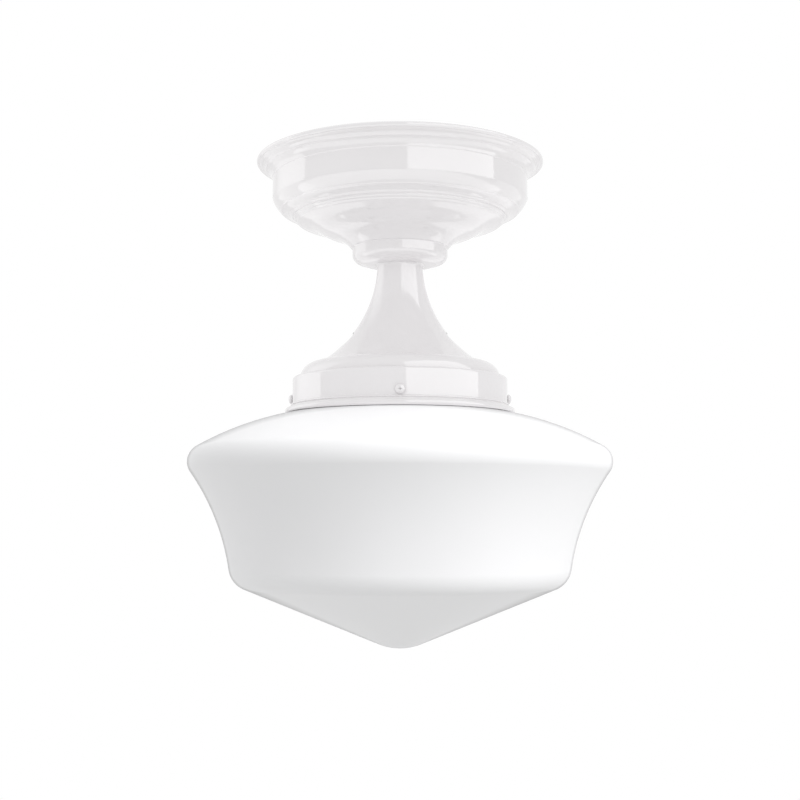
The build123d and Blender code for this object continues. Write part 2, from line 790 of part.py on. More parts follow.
# Medium screw base, a thin metal cup whose thread is drawn at its crests
with BuildPart() as bulb_screw_base:
    with BuildSketch(Plane.XZ):
        with BuildLine():
            Polyline(
                (insulator_r - lamp_base_turn_in, insulator_foot_z),
                (insulator_r, insulator_foot_z),
                (lamp_base_r, insulator_foot_z - lamp_base_shoulder),
                (lamp_base_r, lamp_base_foot_z),
                (lamp_base_r - lamp_base_wall, lamp_base_foot_z),
                (lamp_base_r - lamp_base_wall, insulator_foot_z - lamp_base_turn_in),
                (insulator_r - lamp_base_turn_in, insulator_foot_z - lamp_base_wall),
                close=True,
            )
        make_face()
    revolve(axis=Axis.Z)
bulb_screw_base.part.label = "bulb_screw_base"
export_step(bulb_screw_base.part, "parts/bulb_screw_base.step")

# Lamp housing: a white plastic shell that widens from the base to the diffuser's seam
with BuildPart() as bulb_housing:
    with BuildSketch(Plane.XZ):
        with BuildLine():
            Polyline(
                (lamp_base_r - lamp_wall, lamp_base_foot_z),
                (lamp_base_r, lamp_base_foot_z),
                (lamp_neck_r, lamp_neck_z),
            )
            ThreePointArc(
                (lamp_neck_r, lamp_neck_z), lamp_flare_middle, (lamp_seam_r, lamp_seam_z)
            )
            Line((lamp_seam_r, lamp_seam_z), (lamp_seam_r - lamp_wall, lamp_seam_z))
            ThreePointArc(
                (lamp_seam_r - lamp_wall, lamp_seam_z),
                lamp_flare_inner_middle,
                (lamp_neck_r - lamp_wall, lamp_neck_z),
            )
            Line(
                (lamp_neck_r - lamp_wall, lamp_neck_z),
                (lamp_base_r - lamp_wall, lamp_base_foot_z),
            )
        make_face()
    revolve(axis=Axis.Z)
bulb_housing.part.label = "bulb_housing"
export_step(bulb_housing.part, "parts/bulb_housing.step")

# Metal core plate that carries the light sources inside the seam
with BuildPart() as bulb_led_plate:
    with BuildSketch(Plane.XY.offset(lamp_seam_z)):
        Circle(led_plate_r)
    extrude(amount=led_plate)
bulb_led_plate.part.label = "bulb_led_plate"
export_step(bulb_led_plate.part, "parts/bulb_led_plate.step")

# Diffuser: a frosted dome, its lower half a hemisphere
with BuildPart() as bulb_diffuser:
    with BuildSketch(Plane.XZ):
        with BuildLine():
            ThreePointArc(
                (lamp_seam_r, lamp_seam_z), lamp_cheek_middle, (lamp_r, lamp_widest_z)
            )
            JernArc((lamp_r, lamp_widest_z), (0, -1), lamp_r, -90)
            Line((0, lamp_widest_z - lamp_r), (0, lamp_widest_z - lamp_r + lamp_wall))
            JernArc(
                (lamp_r - lamp_wall, lamp_widest_z), (0, -1), lamp_r - lamp_wall, -90
            )
            ThreePointArc(
                (lamp_r - lamp_wall, lamp_widest_z),
                lamp_cheek_inner_middle,
                (lamp_seam_r - lamp_wall, lamp_seam_z),
            )
            Line((lamp_seam_r - lamp_wall, lamp_seam_z), (lamp_seam_r, lamp_seam_z))
        make_face()
    revolve(axis=Axis.Z)
bulb_diffuser.part.label = "bulb_diffuser"
export_step(bulb_diffuser.part, "parts/bulb_diffuser.step")
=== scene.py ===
"""Finishes the semi-flush ceiling light: enamelled canopy, collar, neck and shade holder, an opal
glass shade, its screws, and the hardware, socket and lamp inside, under plain studio light.

The light hangs below z = 0, the plane of the ceiling. The photograph looks along +Y.
Outlines are written as (radius, height) in millimetres and turned about the Z axis.
"""

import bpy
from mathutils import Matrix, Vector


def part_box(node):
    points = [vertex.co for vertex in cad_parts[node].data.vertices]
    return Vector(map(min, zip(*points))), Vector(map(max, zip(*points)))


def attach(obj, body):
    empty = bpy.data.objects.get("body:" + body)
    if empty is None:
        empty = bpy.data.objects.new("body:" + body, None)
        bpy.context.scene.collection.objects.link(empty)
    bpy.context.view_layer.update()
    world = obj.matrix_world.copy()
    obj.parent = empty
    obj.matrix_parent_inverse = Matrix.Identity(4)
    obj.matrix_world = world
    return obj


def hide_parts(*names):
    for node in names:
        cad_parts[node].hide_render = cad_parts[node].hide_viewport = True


bl_info = {
    "name": "Semi-flush Ceiling Light",
    "version": (1, 0, 0),
    "blender": (4, 5, 0),
    "location": "3D View > Sidebar > Ceiling Light",
    "description": "Models and finishes an opal glass ceiling light around its CAD frame",
    "category": "Add Mesh",
}

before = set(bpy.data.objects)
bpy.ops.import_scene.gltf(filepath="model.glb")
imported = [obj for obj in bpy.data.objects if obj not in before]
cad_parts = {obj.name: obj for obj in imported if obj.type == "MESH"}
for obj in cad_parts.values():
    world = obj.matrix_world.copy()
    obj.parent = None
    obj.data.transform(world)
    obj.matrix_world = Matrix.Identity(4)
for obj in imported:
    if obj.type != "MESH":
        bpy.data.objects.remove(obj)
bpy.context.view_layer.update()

from math import atan2, ceil, cos, hypot, pi, radians, sin, tan

import bpy
from bpy.props import FloatProperty, FloatVectorProperty, IntProperty, PointerProperty
from mathutils import Vector

MM = 0.001

# Where the photograph was taken from, and what it looks at on the light's axis
LENS_MM = 60.75
SENSOR_MM = 36.0
CAMERA_DISTANCE_MM = 981.45
CAMERA_TILT = radians(5.29)
LOOK_AT_MM = -176.8

ARC_STEP = radians(5)
SHARP_ANGLE = radians(28)
SMOOTH_ANGLE = radians(50)
ROUND_SEGMENTS = 2
WELD_MM = 0.002
HOLE_SIDES = 48

# The middle part of a noise pattern, over which a finish goes from one value to the other
PATTERN_LOW = 0.3
PATTERN_HIGH = 0.7

# Sockets of the colour Mix node, whose names are shared by its other data types
MIX_A = 6
MIX_B = 7
MIX_RESULT = 2


def linear(hex_colour):
    """An sRGB colour, written as six hex digits, as linear red, green, blue and a full alpha."""
    channels = [int(hex_colour[i:i + 2], 16) / 255 for i in (0, 2, 4)]
    return tuple(
        c / 12.92 if c <= 0.04045 else ((c + 0.055) / 1.055) ** 2.4 for c in channels
    ) + (1.0,)


class LightSizes(bpy.types.PropertyGroup):
    """Sizes that a user would change without leaving the CAD frame."""

    turning_steps: IntProperty(
        name="Turning steps",
        description="Faces round each large turned piece",
        default=240,
        min=48,
        max=512,
    )
    edge_round: FloatProperty(
        name="Edge round",
        description="Width of the small round on every turned edge",
        default=0.25 * MM,
        unit="LENGTH",
        precision=5,
    )
    shade_radius: FloatProperty(
        name="Shade radius",
        description="Largest radius of the glass",
        default=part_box("shade")[1].x,
        unit="LENGTH",
        precision=4,
    )
    glass_wall: FloatProperty(
        name="Glass wall",
        description="Thickness of the glass",
        default=3.5 * MM,
        unit="LENGTH",
        precision=4,
    )
    sheet_wall: FloatProperty(
        name="Sheet wall",
        description="Thickness of the spun steel of the canopy",
        default=1.1 * MM,
        unit="LENGTH",
        precision=4,
    )


def colour_property(name, description, hex_colour):
    """A colour that the sidebar shows, with its default written as an sRGB hex value."""
    return FloatVectorProperty(
        name=name,
        description=description,
        subtype="COLOR",
        size=4,
        min=0,
        max=1,
        default=linear(hex_colour),
    )


class LightFinishes(bpy.types.PropertyGroup):
    """Colours of the finishes."""

    enamel: colour_property("Enamel", "Gloss white of the metalwork", "EAE8E9")
    opal: colour_property("Opal glass", "White of the shade", "DBDBDC")
    zinc: colour_property("Zinc plate", "Bright plated steel inside", "B9BCC0")
    ground: colour_property("Ground screw", "Green dyed plate", "2E7A45")
    porcelain: colour_property("Porcelain", "Glazed socket body", "EDEBE3")
    brass: colour_property("Brass", "Contacts of the socket", "C9A45C")
    plastic: colour_property("Lamp plastic", "Moulded housing of the lamp", "EEEEEC")
    frosted: colour_property("Lamp diffuser", "Frosted dome of the lamp", "F2F1EC")
    base_metal: colour_property("Lamp base", "Drawn aluminium of the lamp base", "C6C7C8")
    black_glass: colour_property("Insulator", "Black glass of the lamp base", "16161A")


def sizes():
    """The sizes set in the sidebar."""
    return bpy.context.scene.light_sizes


def finishes():
    """The colours set in the sidebar."""
    return bpy.context.scene.light_finishes


# Outlines


def arc_points(start, middle, end):
    """Points of the arc from start through middle to end, without start."""
    (ax, ay), (bx, by), (cx, cy) = start, middle, end
    turn = 2 * (ax * (by - cy) + bx * (cy - ay) + cx * (ay - by))
    a, b, c = ax * ax + ay * ay, bx * bx + by * by, cx * cx + cy * cy
    x = (a * (by - cy) + b * (cy - ay) + c * (ay - by)) / turn
    y = (a * (cx - bx) + b * (ax - cx) + c * (bx - ax)) / turn
    first = atan2(ay - y, ax - x)
    sweep = (atan2(cy - y, cx - x) - first) % (2 * pi)
    if (atan2(by - y, bx - x) - first) % (2 * pi) > sweep:
        sweep -= 2 * pi
    steps = max(2, ceil(abs(sweep) / ARC_STEP))
    radius = hypot(ax - x, ay - y)
    angles = [first + sweep * i / steps for i in range(1, steps + 1)]
    return [(x + radius * cos(angle), y + radius * sin(angle)) for angle in angles]


def outline(*stretches):
    """An outline's points. A point is the end of a straight stretch, and a pair of points is an arc
    through the first to the second."""
    points = [stretches[0]]
    for stretch in stretches[1:]:
        if isinstance(stretch[0], tuple):
            points += arc_points(points[-1], *stretch)
        else:
            points.append(stretch)
    return points


def bend(points, heading, radius, turn, step=ARC_STEP):
    """Goes on from the last point along an arc that starts in the heading, and returns the new
    heading. Angles are in radians, and a positive turn is to the left."""
    x, y = points[-1]
    side = 1 if turn > 0 else -1
    steps = max(2, ceil(abs(turn) / step))
    for i in range(1, steps + 1):
        now = heading + turn * i / steps
        across = side * radius * (sin(now) - sin(heading))
        up = -side * radius * (cos(now) - cos(heading))
        points.append((x + across, y + up))
    return heading + turn


# Modelling


def add_vertex(name, place):
    """A mesh object that is a single vertex at the place, in edit mode."""
    bpy.ops.object.select_all(action="DESELECT")
    bpy.ops.mesh.primitive_plane_add(size=MM, location=place)
    piece = bpy.context.object
    piece.name = name
    piece.data.name = name
    bpy.ops.object.transform_apply(location=True)
    bpy.ops.object.mode_set(mode="EDIT")
    bpy.ops.mesh.select_all(action="SELECT")
    bpy.ops.mesh.merge(type="CENTER")
    return piece


def turned(name, points, steps=None):
    """A closed piece turned about the Z axis from its outline in millimetres."""
    places = [Vector((radius, 0, height)) * MM for radius, height in points]
    piece = add_vertex(name, places[0])
    for before, after in zip(places, places[1:]):
        bpy.ops.mesh.extrude_vertices_move(TRANSFORM_OT_translate={"value": after - before})
    bpy.ops.mesh.select_all(action="SELECT")
    bpy.ops.mesh.spin(
        steps=steps or sizes().turning_steps, angle=2 * pi, center=(0, 0, 0), axis=(0, 0, 1)
    )
    bpy.ops.mesh.select_all(action="SELECT")
    bpy.ops.mesh.remove_doubles(threshold=WELD_MM * MM)
    bpy.ops.mesh.normals_make_consistent(inside=False)
    bpy.ops.object.mode_set(mode="OBJECT")
    return piece


def select_vertices(piece, test):
    """Goes into edit mode with only the vertices selected whose place passes the test."""
    bpy.ops.object.mode_set(mode="EDIT")
    bpy.ops.mesh.select_all(action="DESELECT")
    bpy.ops.object.mode_set(mode="OBJECT")
    for vertex in piece.data.vertices:
        vertex.select = test(vertex.co)
    bpy.ops.object.mode_set(mode="EDIT")


def apply_modifier(piece, kind, **settings):
    """Adds a modifier with its settings and applies it."""
    bpy.ops.object.select_all(action="DESELECT")
    piece.select_set(True)
    bpy.context.view_layer.objects.active = piece
    modifier = piece.modifiers.new(kind.lower(), kind)
    for setting, value in settings.items():
        setattr(modifier, setting, value)
    bpy.ops.object.modifier_apply(modifier=modifier.name)


def soften(piece, width=None):
    """Rounds the sharp edges, shades the piece smooth and keeps its flats flat."""
    apply_modifier(
        piece,
        "BEVEL",
        width=width or sizes().edge_round,
        segments=ROUND_SEGMENTS,
        limit_method="ANGLE",
        angle_limit=SHARP_ANGLE,
        use_clamp_overlap=True,
    )
    bpy.ops.object.shade_smooth_by_angle(angle=SMOOTH_ANGLE)
    apply_modifier(piece, "WEIGHTED_NORMAL", keep_sharp=True, weight=50)


def cut_away(piece, cutter):
    """Takes the cutter's shape out of the piece and deletes the cutter."""
    apply_modifier(piece, "BOOLEAN", operation="DIFFERENCE", object=cutter, solver="EXACT")
    bpy.data.objects.remove(cutter)


def place(piece, material, body, slot, *nodes):
    """Gives the piece its material and its body, and hides the CAD nodes that it stands for. The
    slot is not used.
    """
    piece.data.materials.clear()
    piece.data.materials.append(material)
    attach(piece, body)
    if nodes:
        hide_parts(*nodes)


def dress(material, *nodes):
    """Gives CAD nodes a material."""
    for node in nodes:
        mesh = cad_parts[node].data
        mesh.materials.clear()
        mesh.materials.append(material)


# Materials


def add_node(tree, kind, settings=None, **inputs):
    """Adds a shader node. An input is a value, or another node's output socket to link to it."""
    node = tree.nodes.new(kind)
    for setting, value in (settings or {}).items():
        setattr(node, setting, value)
    for name, value in inputs.items():
        socket = node.inputs[name.replace("_", " ")]
        if isinstance(value, bpy.types.NodeSocket):
            tree.links.new(value, socket)
        else:
            socket.default_value = value
    return node


def new_material(name):
    """An empty node material with its output, its shader and the object's own coordinates."""
    material = bpy.data.materials.new(name)
    material.use_nodes = True
    tree = material.node_tree
    tree.nodes.clear()
    output = add_node(tree, "ShaderNodeOutputMaterial")
    shader = add_node(tree, "ShaderNodeBsdfPrincipled")
    tree.links.new(shader.outputs["BSDF"], output.inputs["Surface"])
    coordinates = add_node(tree, "ShaderNodeTexCoord").outputs["Object"]
    return material, tree, shader, coordinates


def noise(tree, coordinates, size_mm, detail=2.0):
    """A noise pattern whose features are about size_mm across."""
    return add_node(
        tree,
        "ShaderNodeTexNoise",
        Vector=coordinates,
        Scale=1 / (size_mm * MM),
        Detail=detail,
        Roughness=0.5,
    ).outputs["Fac"]


def vary(tree, shader, socket, pattern, low, high):
    """Drives a number of the shader by a pattern, from low to high."""
    spread = add_node(tree, "ShaderNodeMapRange", Value=pattern)
    spread.inputs["From Min"].default_value = PATTERN_LOW
    spread.inputs["From Max"].default_value = PATTERN_HIGH
    spread.inputs["To Min"].default_value = low
    spread.inputs["To Max"].default_value = high
    tree.links.new(spread.outputs["Result"], shader.inputs[socket])


def tint(tree, shader, pattern, colour, share):
    """Lets the base colour drift by a small share between a little darker and a little lighter."""
    darker = tuple(c * (1 - share) for c in colour[:3]) + (1.0,)
    lighter = tuple(min(1.0, c * (1 + share)) for c in colour[:3]) + (1.0,)
    ramp = add_node(tree, "ShaderNodeValToRGB", Fac=pattern)
    ramp.color_ramp.elements[0].position = PATTERN_LOW
    ramp.color_ramp.elements[0].color = darker
    ramp.color_ramp.elements[1].position = PATTERN_HIGH
    ramp.color_ramp.elements[1].color = lighter
    tree.links.new(ramp.outputs["Color"], shader.inputs["Base Color"])


def roughen(tree, shader, pattern, depth_mm):
    """Lets a pattern raise the surface by up to depth_mm."""
    bump = add_node(tree, "ShaderNodeBump", Height=pattern, Distance=depth_mm * MM, Strength=1.0)
    tree.links.new(bump.outputs["Normal"], shader.inputs["Normal"])


def enamel():
    """Gloss white enamel, sprayed on spun steel and stoved: a deep even white with sharp
    reflections and the faint orange peel of a sprayed coat, about 3 mm from crest to crest."""
    material, tree, shader, coordinates = new_material("stoved_white_enamel")
    shader.inputs["IOR"].default_value = 1.52
    peel = noise(tree, coordinates, 3.0, 1.0)
    drift = noise(tree, coordinates, 60.0, 2.0)
    tint(tree, shader, drift, tuple(finishes().enamel), 0.012)
    vary(tree, shader, "Roughness", drift, 0.05, 0.08)
    roughen(tree, shader, peel, 0.004)
    return material


def opal_glass():
    """Blown opal glass: white all through, so that light spreads a few millimetres under a satin,
    very slightly wavy skin. Painted shade darkens its colour where the glass is seen edge on."""
    material, tree, shader, coordinates = new_material("blown_opal_glass")
    shader.inputs["IOR"].default_value = 1.45
    shader.inputs["Subsurface Weight"].default_value = 0.3
    shader.inputs["Subsurface Radius"].default_value = (1.0, 1.0, 1.0)
    shader.inputs["Subsurface Scale"].default_value = 3 * MM
    drift = noise(tree, coordinates, 90.0, 2.0)
    wave = noise(tree, coordinates, 35.0, 1.0)
    tint(tree, shader, drift, tuple(finishes().opal), 0.01)
    # Painted shade: where the surface is seen edge on, the base colour is multiplied down to 0.4 of
    # itself
    edge = add_node(tree, "ShaderNodeLayerWeight", Blend=0.5).outputs["Facing"]
    painted_edge_shade = add_node(tree, "ShaderNodeMapRange", Value=edge)
    painted_edge_shade.inputs["From Min"].default_value = 0.84
    painted_edge_shade.inputs["From Max"].default_value = 1.0
    painted_edge_shade.inputs["To Min"].default_value = 0.0
    painted_edge_shade.inputs["To Max"].default_value = 1.0
    colour = shader.inputs["Base Color"].links[0].from_socket
    darker = add_node(tree, "ShaderNodeMix", {"data_type": "RGBA", "blend_type": "MULTIPLY"})
    tree.links.new(painted_edge_shade.outputs["Result"], darker.inputs["Factor"])
    tree.links.new(colour, darker.inputs[MIX_A])
    darker.inputs[MIX_B].default_value = (0.4, 0.4, 0.4, 1.0)
    tree.links.new(darker.outputs[MIX_RESULT], shader.inputs["Base Color"])
    shader.inputs["Specular IOR Level"].default_value = 0.3
    vary(tree, shader, "Roughness", drift, 0.36, 0.44)
    roughen(tree, shader, wave, 0.03)
    return material


def drawn_metal(name, colour):
    """Drawn or plated metal, bright and slightly milky, whose fine grain blurs what it reflects."""
    material, tree, shader, coordinates = new_material(name)
    shader.inputs["Metallic"].default_value = 1.0
    grain = noise(tree, coordinates, 0.6, 3.0)
    cloud = noise(tree, coordinates, 8.0, 3.0)
    tint(tree, shader, cloud, colour, 0.08)
    vary(tree, shader, "Roughness", cloud, 0.25, 0.42)
    roughen(tree, shader, grain, 0.01)
    return material


def glazed_porcelain():
    """Glazed porcelain: warm white under a thick glassy glaze with a few soft undulations."""
    material, tree, shader, coordinates = new_material("glazed_porcelain")
    shader.inputs["IOR"].default_value = 1.54
    shader.inputs["Coat Weight"].default_value = 0.6
    shader.inputs["Coat Roughness"].default_value = 0.05
    cloud = noise(tree, coordinates, 6.0, 2.0)
    tint(tree, shader, cloud, tuple(finishes().porcelain), 0.02)
    vary(tree, shader, "Roughness", cloud, 0.12, 0.2)
    roughen(tree, shader, cloud, 0.03)
    return material


def moulded_plastic(name, colour, smooth, matt):
    """Injection moulded polycarbonate: an even white with the fine spark texture of its mould."""
    material, tree, shader, coordinates = new_material(name)
    shader.inputs["IOR"].default_value = 1.58
    spark = noise(tree, coordinates, 0.4, 2.0)
    cloud = noise(tree, coordinates, 12.0, 2.0)
    tint(tree, shader, cloud, colour, 0.01)
    vary(tree, shader, "Roughness", spark, smooth, matt)
    roughen(tree, shader, spark, 0.006)
    return material


def black_glass():
    """Pressed black glass of the lamp's insulator, glossy with small flow marks."""
    material, tree, shader, coordinates = new_material("pressed_black_glass")
    shader.inputs["IOR"].default_value = 1.52
    flow = noise(tree, coordinates, 2.0, 2.0)
    tint(tree, shader, flow, tuple(finishes().black_glass), 0.2)
    vary(tree, shader, "Roughness", flow, 0.1, 0.25)
    roughen(tree, shader, flow, 0.01)
    return material


def floor_paint():
    """Matt white paint on a studio floor, with the roller's faint stipple."""
    material, tree, shader, coordinates = new_material("matt_floor_paint")
    stipple = noise(tree, coordinates, 6.0, 2.0)
    tint(tree, shader, stipple, linear("F2F2F1"), 0.01)
    vary(tree, shader, "Roughness", stipple, 0.75, 0.9)
    roughen(tree, shader, stipple, 0.1)
    return material


def material_named(name, make, *arguments):
    """The material if it has been made, or else a new one."""
    return bpy.data.materials.get(name) or make(*arguments)


def enamel_material():
    return material_named("stoved_white_enamel", enamel)


def metal_material(name, colour):
    return material_named(name, drawn_metal, name, tuple(colour))


# Pieces


class LIGHT_OT_canopy(bpy.types.Operator):
    """Turns the canopy: a rolled rim with a ridge, a cove, an upright band, a round shoulder, a
    groove with three beads, and a bowl that swells and then sweeps down to the collar"""

    bl_idname = "ceiling_light.canopy"
    bl_label = "Canopy"

    def execute(self, context):
        wall = sizes().sheet_wall / MM
        points = outline(
            (100.9, -3.4),
            (100.9, 0.0),
            (101.4, 0.0),
            (103.6, -1.2),
            ((105.2, -2.9), (103.2, -4.3)),
            ((102.0, -5.2), (100.6, -5.6)),
            ((99.3, -6.6), (98.4, -8.3)),
            ((95.5, -10.2), (94.1, -13.6)),
            ((94.0, -14.4), (93.6, -15.0)),
            (93.6, -29.6),
            ((91.7, -33.4), (88.6, -37.1)),
            ((87.9, -37.6), (87.3, -38.4)),
            ((84.0, -39.1), (80.4, -41.0)),
            ((79.6, -42.3), (78.0, -42.8)),
            ((77.6, -44.2), (76.2, -44.9)),
            ((75.4, -46.1), (73.6, -46.9)),
            (67.0, -48.5),
            ((63.35, -49.75), (60.0, -51.7)),
            ((54.7, -54.55), (49.0, -56.35)),
            ((41.85, -59.4), (36.2, -64.6)),
            (35.6, -65.0),
            (19.0, -65.0),
            (19.0, -65.0 + wall),
            (34.5, -65.0 + wall),
            ((41.2, -59.5 + wall), (48.8, -56.4 + wall)),
            ((54.3, -54.6 + wall), (59.4, -51.9 + wall)),
            ((62.9, -49.9 + wall), (66.8, -48.6 + wall)),
            (73.3, -46.9 + wall),
            (80.0, -41.0 + wall),
            (87.0, -38.4 + wall),
            (88.2, -37.1 + wall),
            ((90.6, -33.4 + wall / 2), (93.6 - wall, -29.6)),
            (93.6 - wall, -14.6),
            (93.3, -13.0),
            ((94.5, -9.6), (98.0, -7.2)),
            (100.2, -4.5),
            (100.9, -3.4),
        )
        canopy = turned("canopy_shell", points)
        soften(canopy)
        place(canopy, enamel_material(), "canopy", "white_enamel", "canopy")
        return {"FINISHED"}


class LIGHT_OT_collar(bpy.types.Operator):
    """Turns the screw collar: a plain band with a rounded underside in two steps"""

    bl_idname = "ceiling_light.collar"
    bl_label = "Screw Collar"

    def execute(self, context):
        bore = 18.02
        points = outline(
            (bore, -77.8),
            (bore, -65.02),
            (35.5, -65.02),
            ((35.08, -65.25), (34.9, -65.7)),
            (34.9, -71.1),
            ((33.7, -74.0), (31.2, -75.8)),
            (30.8, -75.5),
            ((27.2, -77.0), (22.5, -77.6)),
            (bore, -77.8),
        )
        collar = turned("screw_collar", points)
        soften(collar)
        place(collar, enamel_material(), "collar", "white_enamel", "canopy_collar")
        return {"FINISHED"}


class LIGHT_OT_neck(bpy.types.Operator):
    """Turns the trumpet neck and cuts its two vent slots"""

    bl_idname = "ceiling_light.neck"
    bl_label = "Trumpet Neck"

    BORE_RADIUS = 5.1
    PLATE_TOP = -77.9
    PLATE_FOOT = -79.1
    PLATE_RADIUS = 18.0
    WAIST_RADIUS = 16.7
    WAIST_TOP = -79.3
    WAIST_ROUND = 40
    WAIST_TURN = radians(5)
    WAIST_END = radians(85)
    FLARE_ROUND = 88
    FLARE_TURN = radians(53)
    FINE = radians(1.5)
    FOOT = -150.2
    WALL = 1.2
    SLOT_LENGTH = 28.0
    SLOT_HEIGHT = 11.5
    SLOT_MIDDLE = -134.2
    SLOT_REACH = 130

    def flare(self, inset):
        """The flare from its straight end down, drawn in by inset. The inner face stops at the
        height of the foot."""
        points = [(self.WAIST_RADIUS - inset, self.WAIST_TOP)]
        waist_round = self.WAIST_ROUND + inset
        heading = bend(points, radians(-90), waist_round, self.WAIST_TURN, self.FINE)
        if not inset:
            bend(points, heading, self.FLARE_ROUND, self.FLARE_TURN, self.FINE)
            return points
        radius = self.FLARE_ROUND + inset
        turn = 0
        while points[-1][1] - self.drop(radius, self.WAIST_TURN + turn) > self.FOOT:
            bend(points, heading + turn, radius, self.FINE, 2 * self.FINE)
            turn += self.FINE
        end_radius, end_height = points[-1]
        steepness = tan(self.WAIST_END - turn)
        points.append((end_radius + (end_height - self.FOOT) / steepness, self.FOOT))
        return points

    def drop(self, radius, turned_so_far):
        """How far the next fine step of the flare goes down."""
        return radius * (sin(turned_so_far + self.FINE) - sin(turned_so_far))

    def slot_cutter(self):
        """A bar with round ends that reaches through the neck from side to side."""
        bpy.ops.object.select_all(action="DESELECT")
        bpy.ops.mesh.primitive_cylinder_add(
            vertices=HOLE_SIDES,
            radius=self.SLOT_HEIGHT / 2 * MM,
            depth=self.SLOT_REACH * MM,
            location=(0, 0, self.SLOT_MIDDLE * MM),
            rotation=(0, radians(90), 0),
        )
        cutter = bpy.context.object
        bpy.ops.object.transform_apply(location=True, rotation=True)
        shift = (self.SLOT_LENGTH - self.SLOT_HEIGHT) / 2 * MM
        for side in (-1, 1):
            select_vertices(cutter, lambda spot: spot.y * side > 0.1 * MM)
            bpy.ops.transform.translate(value=(0, side * shift, 0))
            bpy.ops.object.mode_set(mode="OBJECT")
        return cutter

    def execute(self, context):
        outer = self.flare(0)
        inner = self.flare(self.WALL)
        shoulder = (self.PLATE_RADIUS, self.PLATE_TOP)
        points = [(self.BORE_RADIUS, self.PLATE_TOP), shoulder]
        points += arc_points(shoulder, (17.1, -78.4), outer[0]) + outer[1:]
        points += [(outer[-1][0], self.FOOT)] + inner[::-1]
        points += [(15.5, self.PLATE_FOOT), (self.BORE_RADIUS, self.PLATE_FOOT)]
        points += [(self.BORE_RADIUS, self.PLATE_TOP)]
        neck = turned("trumpet_neck", points)
        cut_away(neck, self.slot_cutter())
        soften(neck)
        place(neck, enamel_material(), "root", "white_enamel", "neck")
        return {"FINISHED"}


class LIGHT_OT_shade_holder(bpy.types.Operator):
    """Turns the shade holder and bores its vents"""

    bl_idname = "ceiling_light.shade_holder"
    bl_label = "Shade Holder"

    VENTS = 6
    VENT_RADIUS = 7
    VENT_CIRCLE = 36
    VENT_DEPTH = 6
    PLATE_MIDDLE = -151

    def execute(self, context):
        points = outline(
            (5.1, -150.2),
            (59.5, -150.2),
            ((68.9, -153.3), (72.6, -160.0)),
            (72.6, -160.9),
            (75.8, -160.9),
            ((77.36, -161.54), (78.0, -163.1)),
            (78.0, -179.9),
            ((78.15, -180.25), (78.5, -180.4)),
            ((79.2, -180.9), (78.8, -181.6)),
            ((80.3, -182.5), (82.5, -183.7)),
            ((83.3, -185.4), (82.4, -187.4)),
            (80.3, -187.0),
            (80.3, -184.9),
            (76.2, -181.6),
            (76.2, -162.5),
            (71.0, -162.5),
            (71.0, -160.0),
            ((67.8, -154.4), (59.5, -151.8)),
            (5.1, -151.8),
            (5.1, -150.2),
        )
        holder = turned("shade_holder_shell", points)
        for number in range(self.VENTS):
            turn = radians(360 / self.VENTS * number)
            x = self.VENT_CIRCLE * MM * cos(turn)
            y = self.VENT_CIRCLE * MM * sin(turn)
            bpy.ops.mesh.primitive_cylinder_add(
                vertices=HOLE_SIDES,
                radius=self.VENT_RADIUS * MM,
                depth=self.VENT_DEPTH * MM,
                location=(x, y, self.PLATE_MIDDLE * MM),
            )
            cut_away(holder, bpy.context.object)
        soften(holder)
        place(holder, enamel_material(), "root", "white_enamel", "shade_holder")
        return {"FINISHED"}


class LIGHT_OT_glass_screws(bpy.types.Operator):
    """Makes one pan head screw with a cross recess and a cone point, and copies it round"""

    bl_idname = "ceiling_light.glass_screws"
    bl_label = "Glass Screws"

    SIDES = 48
    HEIGHT = -176.4
    EDGE_ROUND = 0.12
    RECESS_MIDDLE = 80.6
    RECESS_SIZE = (3.0, 0.6, 0.8)
    RECESS_TAPER = (0.45, 0.7, 1)
    TAPER_CENTRE = 80

    def recess_cutter(self):
        """A cross whose arms taper towards the bottom of the recess."""
        bpy.ops.object.select_all(action="DESELECT")
        bpy.ops.mesh.primitive_cube_add(size=1, location=(0, 0, self.RECESS_MIDDLE * MM))
        arm = bpy.context.object
        arm.scale = tuple(size * MM for size in self.RECESS_SIZE)
        bpy.ops.object.transform_apply(location=True, scale=True)
        select_vertices(arm, lambda spot: spot.z < self.RECESS_MIDDLE * MM)
        pivot = (0, 0, self.TAPER_CENTRE * MM)
        bpy.ops.transform.resize(value=self.RECESS_TAPER, center_override=pivot)
        bpy.ops.mesh.select_all(action="SELECT")
        bpy.ops.mesh.duplicate()
        bpy.ops.transform.rotate(value=radians(90), orient_axis="Z", center_override=(0, 0, 0))
        bpy.ops.object.mode_set(mode="OBJECT")
        return arm

    def execute(self, context):
        points = outline(
            (0.0, 71.0),
            (2.0, 73.0),
            (2.0, 78.3),
            (3.4, 78.3),
            (3.4, 79.3),
            ((2.45, 80.35), (0.0, 80.7)),
        )
        first = turned("glass_screw_front", points, self.SIDES)
        cutter = self.recess_cutter()
        apply_modifier(
            first, "BOOLEAN", operation="DIFFERENCE", object=cutter, solver="EXACT", use_self=True
        )
        bpy.data.objects.remove(cutter)
        soften(first, self.EDGE_ROUND * MM)
        for number, side in enumerate(("front", "right", "back", "left"), start=1):
            screw = first.copy()
            screw.data = first.data.copy()
            screw.name = f"glass_screw_{side}_head"
            screw.data.name = screw.name
            context.collection.objects.link(screw)
            screw.rotation_euler = (radians(90), 0, radians(90 * (number - 1)))
            screw.location = (0, 0, self.HEIGHT * MM)
            bpy.ops.object.select_all(action="DESELECT")
            screw.select_set(True)
            context.view_layer.objects.active = screw
            bpy.ops.object.transform_apply(location=True, rotation=True)
            node = f"glass_screw_{number}"
            place(screw, enamel_material(), node, "white_enamel", node)
        bpy.data.objects.remove(first)
        return {"FINISHED"}


